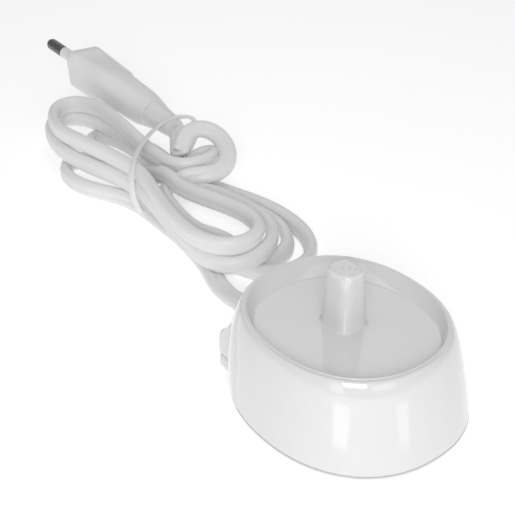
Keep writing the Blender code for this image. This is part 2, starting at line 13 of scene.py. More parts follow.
import bmesh
import bpy
import numpy as np
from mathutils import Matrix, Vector

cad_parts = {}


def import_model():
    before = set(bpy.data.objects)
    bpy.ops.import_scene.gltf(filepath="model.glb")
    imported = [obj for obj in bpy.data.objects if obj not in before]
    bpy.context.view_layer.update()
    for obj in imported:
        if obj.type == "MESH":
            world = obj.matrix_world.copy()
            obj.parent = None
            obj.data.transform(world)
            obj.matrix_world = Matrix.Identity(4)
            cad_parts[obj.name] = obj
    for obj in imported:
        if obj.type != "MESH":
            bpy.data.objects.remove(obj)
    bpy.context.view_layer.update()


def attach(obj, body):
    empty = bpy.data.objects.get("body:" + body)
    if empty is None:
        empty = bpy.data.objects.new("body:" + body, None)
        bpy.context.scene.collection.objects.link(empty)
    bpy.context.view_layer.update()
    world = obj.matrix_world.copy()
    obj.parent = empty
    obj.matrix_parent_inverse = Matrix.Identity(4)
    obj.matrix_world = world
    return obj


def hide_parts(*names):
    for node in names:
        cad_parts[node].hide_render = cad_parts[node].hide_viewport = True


LOG = logging.getLogger("charging_stand")
MM = 0.001
TAU = 2.0 * math.pi
ROOT = "root"
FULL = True
SHARP = 34.0

Array = np.ndarray
Ring = np.ndarray
Shell = tuple[Array, list]
Tree = bpy.types.NodeTree
Socket = bpy.types.NodeSocket


# ------------------------------------------------------------------ finishes
class Grain(Enum):
    """What the surface of a finish looks like up close."""

    MOULDED = "moulded"
    WOUND = "wound"
    LAMINATE = "laminate"
    SINTERED = "sintered"
    PLATED = "plated"
    SLEEVED = "sleeved"


@dataclass(frozen=True)
class Finish:
    """One procedural surface.

    Attributes:
        name: material name.
        colour: mean colour, linear.
        shade: second colour that the first drifts to, linear.
        drift_mm: size of the colour drift.
        roughness: lowest and highest roughness.
        grain: what is seen up close.
        grain_mm: size of the fine relief.
        relief: height of the fine relief, millimetres.
        metallic: 1 for a metal.
        coat: weight of the clear gloss on top.
        scatter: how far light runs inside, as a share.
    """

    name: str
    colour: tuple[float, float, float]
    shade: tuple[float, float, float]
    drift_mm: float = 14.0
    roughness: tuple[float, float] = (0.3, 0.36)
    grain: Grain = Grain.MOULDED
    grain_mm: float = 0.5
    relief: float = 0.004
    metallic: float = 0.0
    coat: float = 0.0
    scatter: float = 0.0

    def build(self) -> bpy.types.Material:
        """Makes the node material.

        Returns:
            The material, with colour, roughness and relief each driven by noise in object space.
        """
        mat = bpy.data.materials.new(self.name)
        mat.use_nodes = True
        tree = mat.node_tree
        shader = tree.nodes["Principled BSDF"]
        shader.inputs["Metallic"].default_value = self.metallic
        shader.inputs["Coat Weight"].default_value = self.coat
        shader.inputs["Coat Roughness"].default_value = 0.06
        shader.inputs["Subsurface Weight"].default_value = self.scatter
        shader.inputs["Subsurface Radius"].default_value = (0.004, 0.0036, 0.0032)
        shader.inputs["Subsurface Scale"].default_value = 0.3
        where = tree.nodes.new("ShaderNodeTexCoord").outputs["Object"]
        drift = self._noise(tree, where, self.drift_mm, 3.0)
        fine = self._pattern(tree, where)
        both = self._math(tree, "MULTIPLY_ADD", fine, 0.35, self._math(tree, "MULTIPLY", drift, 0.65))
        mix = tree.nodes.new("ShaderNodeMix")
        mix.data_type = "RGBA"
        tree.links.new(both, mix.inputs["Factor"])
        mix.inputs["A"].default_value = (*self.colour, 1.0)
        mix.inputs["B"].default_value = (*self.shade, 1.0)
        tree.links.new(mix.outputs["Result"], shader.inputs["Base Color"])
        span = tree.nodes.new("ShaderNodeMapRange")
        tree.links.new(drift, span.inputs["Value"])
        span.inputs["From Min"].default_value = 0.3
        span.inputs["From Max"].default_value = 0.7
        span.inputs["To Min"].default_value = self.roughness[0]
        span.inputs["To Max"].default_value = self.roughness[1]
        tree.links.new(span.outputs["Result"], shader.inputs["Roughness"])
        bump = tree.nodes.new("ShaderNodeBump")
        bump.inputs["Strength"].default_value = 0.5
        bump.inputs["Distance"].default_value = self.relief * MM
        tree.links.new(fine, bump.inputs["Height"])
        tree.links.new(bump.outputs["Normal"], shader.inputs["Normal"])
        return mat

    @staticmethod
    def _noise(tree: Tree, where: Socket, size_mm: float, detail: float) -> Socket:
        """Noise in object space.

        Args:
            tree: the material's nodes.
            where: position output.
            size_mm: width of its patches, millimetres.
            detail: how many finer layers lie on it.

        Returns:
            The output, from 0 to 1.
        """
        node = tree.nodes.new("ShaderNodeTexNoise")
        node.inputs["Scale"].default_value = 1.0 / (size_mm * MM)
        node.inputs["Detail"].default_value = detail
        tree.links.new(where, node.inputs["Vector"])
        return node.outputs["Fac"]

    @staticmethod
    def _math(tree: Tree, operation: str, value: Socket, factor: float,
              added: Socket | None = None) -> Socket:
        """A maths node on one output, a constant and, if given, another output.

        Args:
            tree: the material's nodes.
            operation: what the node does.
            value: first output.
            factor: the constant.
            added: second output.

        Returns:
            The node's output.
        """
        node = tree.nodes.new("ShaderNodeMath")
        node.operation = operation
        tree.links.new(value, node.inputs[0])
        node.inputs[1].default_value = factor
        if added is not None:
            tree.links.new(added, node.inputs[2])
        return node.outputs["Value"]

    def _pattern(self, tree: Tree, where: Socket) -> Socket:
        """The close-up pattern of this grain.

        Args:
            tree: the material's nodes.
            where: position output.

        Returns:
            The output, from 0 to 1.
        """
        size = 1.0 / (self.grain_mm * MM)
        if self.grain is Grain.WOUND:
            node = tree.nodes.new("ShaderNodeTexWave")
            node.wave_type = "BANDS"
            node.bands_direction = "Z"
            node.inputs["Scale"].default_value = size / TAU
            node.inputs["Distortion"].default_value = 0.6
        elif self.grain is Grain.LAMINATE:
            node = tree.nodes.new("ShaderNodeTexBrick")
            node.inputs["Scale"].default_value = size
            node.inputs["Mortar Size"].default_value = 0.06
            node.inputs["Color1"].default_value = (0.35, 0.35, 0.35, 1.0)
            node.inputs["Color2"].default_value = (0.55, 0.55, 0.55, 1.0)
            node.inputs["Mortar"].default_value = (1.0, 1.0, 1.0, 1.0)
        elif self.grain in (Grain.SINTERED, Grain.SLEEVED):
            node = tree.nodes.new("ShaderNodeTexVoronoi")
            node.inputs["Scale"].default_value = size
        elif self.grain is Grain.PLATED:
            node = tree.nodes.new("ShaderNodeTexNoise")
            node.inputs["Scale"].default_value = size
            node.inputs["Distortion"].default_value = 1.6
        else:
            return self._noise(tree, where, self.grain_mm, 5.0)
        tree.links.new(where, node.inputs["Vector"])
        named = {"ShaderNodeTexVoronoi": "Distance", "ShaderNodeTexBrick": "Color"}
        return node.outputs[named.get(node.bl_idname, "Fac")]


WHITE_GLOSS = Finish("white_gloss", (0.78, 0.78, 0.78), (0.74, 0.74, 0.74), 22.0, (0.10, 0.15),
                     grain_mm=1.6, relief=0.0012, coat=0.8, scatter=0.04)
WHITE_CORD = Finish("white_cord", (0.86, 0.86, 0.86), (0.80, 0.80, 0.80), 9.0, (0.34, 0.46),
                    grain_mm=0.35, relief=0.006, coat=0.08, scatter=0.04)
WHITE_PLUG = Finish("white_plug", (0.84, 0.84, 0.84), (0.78, 0.78, 0.78), 10.0, (0.36, 0.46),
                    grain_mm=0.28, relief=0.008, scatter=0.04)
WHITE_TIE = Finish("white_tie", (0.85, 0.85, 0.85), (0.80, 0.80, 0.80), 8.0, (0.30, 0.40),
                   grain_mm=0.4, relief=0.004)
WHITE_SLEEVE = Finish("white_sleeve", (0.84, 0.84, 0.84), (0.78, 0.78, 0.78), 5.0, (0.26, 0.34),
                      grain_mm=0.3, relief=0.003, coat=0.2)

BY_SLOT: dict[str, Finish] = {
    "gloss_white": WHITE_GLOSS,
    "cord_white": WHITE_CORD,
    "plug_white": WHITE_PLUG,
    "tie_white": WHITE_TIE,
    "natural_nylon": Finish("natural_nylon", (0.70, 0.67, 0.58), (0.62, 0.59, 0.50), 6.0, (0.42, 0.52),
                            grain_mm=0.3, relief=0.006),
    "nickel_plate": Finish("nickel_plate", (0.22, 0.22, 0.22), (0.15, 0.15, 0.15), 4.0, (0.24, 0.34),
                           Grain.PLATED, 0.4, 0.004, metallic=1.0),
    "ferrite": Finish("ferrite", (0.06, 0.06, 0.065), (0.03, 0.03, 0.03), 2.0, (0.55, 0.7),
                      Grain.SINTERED, 0.12, 0.012),
    "enamelled_copper": Finish("enamelled_copper", (0.52, 0.20, 0.07), (0.36, 0.12, 0.04), 3.0, (0.25, 0.35),
                               Grain.WOUND, 0.32, 0.08, metallic=0.8),
    "board_laminate": Finish("board_laminate", (0.50, 0.38, 0.16), (0.34, 0.25, 0.10), 6.0, (0.45, 0.55),
                             Grain.LAMINATE, 0.9, 0.01),
    "capacitor_sleeve": Finish("capacitor_sleeve", (0.03, 0.05, 0.12), (0.02, 0.03, 0.07), 4.0, (0.3, 0.4),
                               Grain.SLEEVED, 0.6, 0.006),
    "film_epoxy": Finish("film_epoxy", (0.62, 0.42, 0.05), (0.50, 0.33, 0.04), 3.0, (0.35, 0.45),
                         grain_mm=0.3, relief=0.012),
    "black_epoxy": Finish("black_epoxy", (0.03, 0.03, 0.03), (0.05, 0.05, 0.05), 2.0, (0.5, 0.6),
                          Grain.SINTERED, 0.15, 0.01),
    "blue_lacquer": Finish("blue_lacquer", (0.05, 0.17, 0.42), (0.04, 0.12, 0.32), 2.0, (0.3, 0.4),
                           grain_mm=0.3, relief=0.01),
    "sand_cement": Finish("sand_cement", (0.52, 0.42, 0.30), (0.42, 0.33, 0.23), 1.5, (0.6, 0.75),
                          Grain.SINTERED, 0.2, 0.02),
    "brown_pvc": Finish("brown_pvc", (0.14, 0.05, 0.02), (0.10, 0.035, 0.015), 3.0, (0.35, 0.45),
                        grain_mm=0.3, relief=0.005),
    "blue_pvc": Finish("blue_pvc", (0.03, 0.10, 0.34), (0.02, 0.07, 0.25), 3.0, (0.35, 0.45),
                       grain_mm=0.3, relief=0.005),
}
CAD_SLOTS: dict[str, tuple[str, ...]] = {
    "cord_white": ("cord_relief",),
    "plug_white": ("plug_relief",),
    "natural_nylon": ("cord_clamp", "coil_bobbin", "plug_bridge"),
    "nickel_plate": ("pin_1", "pin_2"),
    "ferrite": ("ferrite_core", "choke"),
    "enamelled_copper": ("primary_coil", "feedback_coil"),
    "board_laminate": ("circuit_board",),
    "capacitor_sleeve": ("electrolytic_capacitor",),
    "film_epoxy": ("film_capacitor",),
    "black_epoxy": ("power_transistor", "rectifier_diode_1", "rectifier_diode_2", "rectifier_diode_3",
                    "rectifier_diode_4"),
    "blue_lacquer": ("ceramic_capacitor",),
    "sand_cement": ("fusible_resistor",),
    "brown_pvc": ("live_wire",),
    "blue_pvc": ("neutral_wire",),
}


class Palette:
    """Makes each finish once and hands it out."""

    def __init__(self) -> None:
        """Starts with no material made."""
        self._made: dict[str, bpy.types.Material] = {}

    def __getitem__(self, finish: Finish) -> bpy.types.Material:
        """The material of a finish."""
        if finish.name not in self._made:
            self._made[finish.name] = finish.build()
        return self._made[finish.name]

    def dress_cad(self) -> None:
        """Gives every CAD piece that stays in view its procedural finish."""
        sleeves = {"pin_sleeve_1": WHITE_SLEEVE, "pin_sleeve_2": WHITE_SLEEVE}
        named = {node: BY_SLOT[slot] for slot, nodes in CAD_SLOTS.items() for node in nodes}
        for node, finish in (named | sleeves).items():
            obj = bpy.data.objects[node]
            obj.data.materials.clear()
            obj.data.materials.append(self[finish])


# ------------------------------------------------------------------ shapes
def signed_power(values: Array, power: float) -> Array:
    """Each value's size raised to a power, with its sign kept."""
    return np.sign(values) * np.abs(values) ** power


def turns(count: int) -> Array:
    """Evenly spaced angles once round."""
    return TAU * (np.arange(count) + 0.5) / count


def oval(half_x: float | Array, half_y: float | Array, z: float, mid_y: float, power: float,
         angle: Array) -> Ring:
    """A level superellipse.

    Args:
        half_x: half width.
        half_y: half length.
        z: height.
        mid_y: centre, along Y.
        power: 2 for an ellipse, more for squarer.
        angle: angles of its points.

    Returns:
        The points, in order round +Z.
    """
    count = len(angle)
    x = half_x * signed_power(np.cos(angle), 2.0 / power)
    y = mid_y + half_y * signed_power(np.sin(angle), 2.0 / power)
    return np.column_stack([x, y, np.full(count, z)])


def spline(points: Array, step: float, closed: bool = False) -> Array:
    """Even points along a Catmull-Rom curve.

    Args:
        points: what the curve runs through.
        step: wanted distance between the results.
        closed: whether it runs on from the last point to the first.

    Returns:
        The even points, both ends among them; a closed curve's end is left out.
    """
    if closed:
        ends = np.vstack([points[-1:], points, points[:2]])
    else:
        ends = np.vstack([2 * points[0] - points[1], points, 2 * points[-1] - points[-2]])
    t = np.linspace(0.0, 1.0, 24, endpoint=False)[:, None]
    dense = []
    for a, b, c, d in zip(ends, ends[1:], ends[2:], ends[3:]):
        dense.append(0.5 * (2 * b + (c - a) * t + (2 * a - 5 * b + 4 * c - d) * t**2
                            + (3 * b - a - 3 * c + d) * t**3))
    out = even(np.vstack([*dense, ends[-2:-1]]), step)
    return out[:-1] if closed else out


def even(line: Array, step: float) -> Array:
    """The same line with its points a step apart.

    Args:
        line: rows of x, y, z and anything that rides along.
        step: wanted distance between the results.

    Returns:
        The even rows.
    """
    gaps = np.linalg.norm(np.diff(line[:, :3], axis=0), axis=1)
    run = np.concatenate([[0.0], np.cumsum(gaps)])
    at = np.linspace(0.0, run[-1], max(2, round(run[-1] / step)) + 1)
    return np.column_stack([np.interp(at, run, column) for column in line.T])


def length_of(line: Array) -> float:
    """Length of a run of points."""
    return float(np.linalg.norm(np.diff(line[:, :3], axis=0), axis=1).sum())


def tangents(line: Array, closed: bool = False) -> Array:
    """Unit direction at each point of a line.

    Args:
        line: the points.
        closed: whether the last leads on to the first.

    Returns:
        One unit vector a point.
    """
    if closed:
        ahead = np.roll(line, -1, axis=0) - np.roll(line, 1, axis=0)
    else:
        ahead = np.gradient(line, axis=0)
    return ahead / np.linalg.norm(ahead, axis=1, keepdims=True)


def smoothed(values: Array, width: int, times: int = 1) -> Array:
    """A running mean along the first axis.

    Args:
        values: rows to smooth.
        width: how many neighbours count on each side.
        times: how often it is done.

    Returns:
        The smoothed rows; past an end, the end row is repeated.
    """
    out = values.copy()
    kernel = np.ones(2 * width + 1) / (2 * width + 1)
    for _ in range(times):
        padded = np.concatenate([np.repeat(out[:1], width, 0), out, np.repeat(out[-1:], width, 0)])
        out = np.column_stack([np.convolve(column, kernel, "valid") for column in padded.T])
    return out


def skin(rings: Sequence[Ring], capped: bool = True, looped: bool = False) -> Shell:
    """Points and faces of a surface through rings of equal length.

    Args:
        rings: the sections in order.
        capped: close the first and the last.
        looped: join the last to the first.

    Returns:
        The points and the faces.
    """
    count, rows = len(rings[0]), len(rings)
    faces = []
    for row in range(rows if looped else rows - 1):
        low, high = row * count, (row + 1) % rows * count
        for i in range(count):
            j = (i + 1) % count
            faces.append((low + i, low + j, high + j, high + i))
    if capped and not looped:
        faces.append(tuple(range(count - 1, -1, -1)))
        faces.append(tuple(range((rows - 1) * count, rows * count)))
    return np.vstack(rings), faces


def solid(name: str, parts: Iterable[Shell], mat: bpy.types.Material | None,
          crease: float = SHARP) -> bpy.types.Object:
    """One object from closed shells.

    Args:
        name: object name.
        parts: points in millimetres and faces of each shell.
        mat: the finish; None for a cutter.
        crease: edges sharper than this many degrees stay sharp.

    Returns:
        The object, in the scene.
    """
    mesh = bpy.data.meshes.new(name)
    verts: list = []
    faces: list = []
    for points, polygons in parts:
        shift = len(verts)
        verts += (np.asarray(points) * MM).tolist()
        faces += [tuple(i + shift for i in polygon) for polygon in polygons]
    mesh.from_pydata(verts, [], faces)
    bm = bmesh.new()
    bm.from_mesh(mesh)
    bmesh.ops.recalc_face_normals(bm, faces=bm.faces[:])
    bm.to_mesh(mesh)
    bm.free()
    obj = bpy.data.objects.new(name, mesh)
    bpy.context.scene.collection.objects.link(obj)
    if mat is not None:
        mesh.materials.append(mat)
    mesh.shade_smooth()
    mesh.set_sharp_from_angle(angle=math.radians(crease))
    return obj


def carve(obj: bpy.types.Object, tool: bpy.types.Object, operation: str = "DIFFERENCE") -> None:
    """Cuts a tool from an object, or joins the two, and throws the tool away.

    Args:
        obj: what is changed.
        tool: what it is changed with.
        operation: DIFFERENCE or UNION.
    """
    modifier = obj.modifiers.new("carve", "BOOLEAN")
    modifier.operation = operation
    modifier.solver = "EXACT"
    modifier.object = tool
    graph = bpy.context.evaluated_depsgraph_get()
    mesh = bpy.data.meshes.new_from_object(obj.evaluated_get(graph))
    obj.modifiers.clear()
    old, obj.data = obj.data, mesh
    bpy.data.meshes.remove(old)
    bpy.data.objects.remove(tool, do_unlink=True)
    mesh.shade_smooth()
    mesh.set_sharp_from_angle(angle=math.radians(SHARP))


def block(centre: Sequence[float], size: Sequence[float], frame: Array | None = None) -> Shell:
    """A box.

    Args:
        centre: its middle.
        size: its three sides.
        frame: its axes, one a row; None for upright.

    Returns:
        Points and faces.
    """
    floor = ((-0.5, -0.5), (0.5, -0.5), (0.5, 0.5), (-0.5, 0.5))
    corners = np.array([(x, y, z) for z in (-0.5, 0.5) for x, y in floor]) * np.asarray(size)
    if frame is not None:
        corners = corners @ frame
    return skin([corners[:4] + np.asarray(centre), corners[4:] + np.asarray(centre)])


# ------------------------------------------------------------------ the stand
@dataclass
class Stand:
    """White moulded housing with dish, charging post and rear block, and the base plate under it."""

    palette: Palette
    rim_z: float = 24.0
    rim_half_x: float = 21.9
    rim_half_y: float = 24.9
    power: float = 2.2
    flare: float = 5.0
    flare_power: float = 0.44
    rim_y: float = 2.0
    foot_shift: float = -2.4
    foot_round: float = 1.4
    wall: float = 1.8
    seam_z: float = 1.5
    gap: float = 0.3
    dish_depth: float = 2.8
    near_run: float = 0.7
    far_run: float = 5.2
    far_side: float = 52.0
    run_power: float = 2.2
    rim_land: float = 0.55
    rim_edge: float = 0.25
    rim_clear: float = 0.03
    seam_edge: float = 0.12
    seam_inset: float = 0.18
    crease_rise: float = 0.85
    crease_y: float = 16.8
    crease_lean: float = 0.3
    crease_column: float = 30.0
    crease_width: float = 1.8
    post_y: float = 2.7
    post_height: float = 15.2
    post_top: tuple[float, float] = (3.35, 3.95)
    post_spread: float = 0.95
    post_power: float = 3.4
    post_round: float = 0.9
    post_fillet: float = 0.9
    dimple_radius: float = 1.15
    dimple_depth: float = 0.22
    block_half: float = 16.8
    block_rear: float = 30.1
    block_front: float = 14.0
    block_top: float = 15.5
    block_round: float = 6.5
    block_split: float = 3.7
    block_edge: float = 1.2
    block_ease: float = 0.8
    block_taper: float = 0.6
    slot: tuple[float, float] = (10.3, 8.0)
    cord_z: float = 5.6
    around: int = 288 if FULL else 144
    made: list[bpy.types.Object] = field(default_factory=list)

    @property
    def dish_z(self) -> float:
        """Height of the dish floor."""
        return self.rim_z - self.dish_depth

    def spread(self, z: float) -> float:
        """How far the wall stands outside the rim at a height."""
        return self.flare * max(0.0, 1.0 - z / self.rim_z) ** self.flare_power

    def middle(self, z: float) -> float:
        """Centre of the wall's section at a height, along Y."""
        return self.rim_y + self.foot_shift * (1.0 - min(z, self.rim_z) / self.rim_z)

    def wall_ring(self, z: float, inset: float = 0.0, creased: bool = False) -> Ring:
        """Section of the outer wall.

        Args:
            z: height.
            inset: how far inside the wall it runs.
            creased: whether the rear stands proud behind the crease.

        Returns:
            The section.
        """
        half = np.array([self.rim_half_x, self.rim_half_y]) + self.spread(z) - inset
        ring = oval(half[0], half[1], z, self.middle(z), self.power, self.columns(z))
        if creased:
            even_turn, column = turns(self.around), math.radians(self.crease_column)
            past = np.minimum(even_turn - column, math.pi - column - even_turn)
            past /= math.radians(self.crease_width)
            rise = self.crease_rise * math.sin(math.pi * min(1.0, max(0.0, 1.0 - z / self.rim_z))) ** 0.7
            out = (ring[:, :2] - [0.0, self.middle(z)]) / half
            out /= np.linalg.norm(out, axis=1, keepdims=True)
            ring[:, :2] += out * (rise * np.clip(past, 0.0, 1.0))[:, None]
        return ring

    def columns(self, z: float) -> Array:
        """Angles of a section's points, with one column of them on the crease at every height.

        Args:
            z: height of the section.

        Returns:
            The angles.
        """
        line = self.rim_y + self.crease_y - self.crease_lean * (self.rim_z - z)
        share = (line - self.middle(z)) / (self.rim_half_y + self.spread(z))
        crease, column = math.asin(share ** (self.power / 2.0)), math.radians(self.crease_column)
        return np.interp(turns(self.around), [0.0, column, math.pi - column, math.pi, TAU],
                         [0.0, crease, math.pi - crease, math.pi, TAU])

    def rim_ring(self, inset: float | Array, z: float) -> Ring:
        """Section of the dish at a distance inside the rim."""
        angle = self.columns(self.rim_z)
        return oval(self.rim_half_x - inset, self.rim_half_y - inset, z, self.rim_y, self.power, angle)

    def slope(self) -> Array:
        """Width of the dish's sloping wall round the oval: narrow in front, wide at the far side."""
        toward = 0.5 + 0.5 * np.cos(self.columns(self.rim_z) - math.radians(self.far_side))
        return self.near_run + (self.far_run - self.near_run) * toward**self.run_power

    def post_ring(self, t: float, z: float, inset: float = 0.0) -> Ring:
        """Section of the post; t is 0 at its top and 1 at its foot."""
        grow = self.post_spread * t - inset
        return oval(self.post_top[0] + grow, self.post_top[1] + grow, z, self.post_y, self.post_power,
                    turns(self.around))

    def post_rings(self) -> list[Ring]:
        """The post from its fillet in the dish to the dimple in its top.

        Returns:
            The sections.
        """
        top, foot, curve = self.dish_z + self.post_height, self.post_fillet + 0.05, self.post_round
        shaft = self.post_height - foot - curve
        rings = [self.post_ring(1.0, self.dish_z + self.post_fillet * (1 - math.sin(a)) ** 1.6,
                                -self.post_fillet * (1 - math.cos(a)) - 0.02)
                 for a in np.linspace(math.pi / 2, 0.0, 7)]
        rings += [self.post_ring(1.0 - t, self.dish_z + foot + shaft * t) for t in np.linspace(0.02, 1.0, 10)]
        rings += [self.post_ring(0.0, top - curve * (1 - math.sin(a)), curve * (1 - math.cos(a)))
                  for a in np.linspace(0.15, math.pi / 2, 8)]
        flat = self.post_ring(0.0, top, self.post_round)
        for share, radius, down in ((0.5, 1.5, 0.0), (1.0, 1.0, 0.0), (1.0, 0.86, 0.5), (1.0, 0.72, 1.0),
                                    (1.0, 0.5, 1.0), (1.0, 0.38, 0.4), (1.0, 0.24, 0.1), (1.0, 0.05, 0.0)):
            size = self.dimple_radius * radius
            circle = oval(size, size, top - self.dimple_depth * down, self.post_y, 2.0, turns(self.around))
            mixed = flat * (1 - share) + circle * share
            mixed[:, 2] = top - self.dimple_depth * down
            rings.append(mixed)
        return rings

    def build_housing(self) -> bpy.types.Object:
        """Wall, rim, dish, post and the upper half of the rear block, in one piece.

        Returns:
            The housing.
        """
        slope = self.slope()
        rings = [self.rim_ring(self.near_run + 2 * self.wall, self.dish_z - self.wall)]
        rings += [self.wall_ring(z, self.wall)
                  for z in np.linspace(self.dish_z - self.wall, self.seam_z, 6)[1:]]
        rise = self.rim_z - self.rim_edge - self.seam_z
        rings.append(self.wall_ring(self.seam_z, self.seam_inset))
        rings += [self.wall_ring(self.seam_z + self.seam_edge + (rise - self.seam_edge) * f, creased=True)
                  for f in 1.0 - (1.0 - np.linspace(0.0, 1.0, 34)) ** 1.5]
        lip = self.rim_land / 2
        rings += [self.rim_ring(lip - (lip - self.rim_clear) * math.cos(a),
                                self.rim_z - self.rim_edge + self.rim_edge * math.sin(a))
                  for a in np.linspace(0.25, math.pi - 0.3, 9)]
        lip_z = rings[-1][0, 2]
        for t in np.linspace(0.0, 1.0, 14)[1:]:
            ease = 1.0 - (1.0 - t) ** 1.5
            rings.append(self.rim_ring(self.rim_land + slope * t, lip_z - (lip_z - self.dish_z) * ease))
        rings += [self.rim_ring(self.rim_land + slope + extra, self.dish_z) for extra in (0.4, 3.0, 8.0)]
        rings += self.post_rings()
        shell = solid("stand_shell", [skin(rings)], self.palette[WHITE_GLOSS])
        above = self.block_skin(0.0, self.block_split + self.gap / 2, self.block_top)
        upper = solid("tool_block", [above], None)
        carve(shell, upper, "UNION")
        hollow = self.block_skin(self.wall, -1.0, self.block_top, self.block_front - 2.0)
        carve(shell, solid("tool_hollow", [hollow], None))
        self.cut_slot(shell)
        self.cut_key(shell)
        return shell

    def block_skin(self, inset: float, low: float, high: float, front: float | None = None) -> Shell:
        """Rear block as a stack of sections along Y, each with rounded upper corners.

        Args:
            inset: how far inside the block it runs.
            low: its lower face.
            high: its upper face, cut off at the block's own top.
            front: where it starts inside the stand.

        Returns:
            Points and faces.
        """
        front = self.block_front if front is None else front
        rear, top = self.block_rear - inset, min(high, self.block_top - inset)
        whole = high >= self.block_top
        turn = max(self.block_round - inset, 1.0)
        edge = self.block_edge
        stations = [(front, 0.0, 0.0)]
        if whole:
            stations += [(rear - turn * self.block_ease * math.cos(a), turn * (1 - math.cos(a)), 0.0)
                         for a in np.linspace(0.0, math.pi / 2 - 0.12, 12)]
        stations += [(rear - edge * (1 - math.sin(a)), 0.0, edge * (1 - math.cos(a)))
                     for a in np.linspace(0.35, math.pi / 2, 5)]
        rings = []
        fallen = 0.0
        for y, drop, tuck in sorted(stations, key=lambda station: station[0]):
            fallen = max(fallen, drop)
            half = self.block_half - inset - tuck + self.block_taper * (rear - y) / (rear - front)
            roof = max(low + 0.4, top - fallen)
            corner = min(1.0, (roof - low) * 0.45)
            quarter = np.linspace(0.0, math.pi / 2, 5)
            right = [(half - corner + corner * math.cos(a), roof - corner + corner * math.sin(a))
                     for a in quarter]
            outline = [(half, low), *right, *[(-x, z) for x, z in reversed(right)], (-half, low)]
            rings.append(np.array([(x, y, z) for x, z in outline]))
        return skin(rings)

    def cut_slot(self, obj: bpy.types.Object) -> None:
        """Opens the rear face round the cord's relief."""
        hole = block((0.0, self.block_rear, self.cord_z), (self.slot[0], 6.0, self.slot[1]))
        carve(obj, solid("tool_slot", [hole], None))

    def cut_key(self, obj: bpy.types.Object) -> None:
        """A fine flat groove beside the dimple on the post's top."""
        top = self.dish_z + self.post_height
        carve(obj, solid("tool_key", [block((1.55, self.post_y - 1.9, top), (1.5, 0.22, 0.3))], None))

    def build_base(self) -> bpy.types.Object:
        """Base plate with its rounded foot and the lower half of the rear block.

        Returns:
            The base plate.
        """
        top = self.seam_z - self.gap
        rings = [self.wall_ring(self.foot_round * (1 - math.cos(a)) * 0.75,
                                self.foot_round * (1 - math.sin(a)))
                 for a in np.linspace(0.0, math.pi / 2, 8)]
        rings += [self.wall_ring(top - 0.1), self.wall_ring(top, 0.15)]
        plate = solid("stand_base", [skin(rings)], self.palette[WHITE_GLOSS])
        lower = solid("tool_lower", [self.block_skin(0.0, 0.0, self.block_split - self.gap / 2)], None)
        margin = -self.gap - self.crease_rise
        clear = [self.wall_ring(z, margin) for z in (top - 0.1, self.block_split + 1.0)]
        carve(lower, solid("tool_clear", [skin(clear)], None))
        carve(plate, lower, "UNION")
        self.cut_slot(plate)
        return plate

    def build(self) -> None:
        """Makes both pieces and puts them in place of their CAD forms."""
        shell, plate = self.build_housing(), self.build_base()
        for obj, node in ((shell, "housing"), (plate, "base_plate")):
            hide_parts(node)
            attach(obj, ROOT)
            self.made.append(obj)


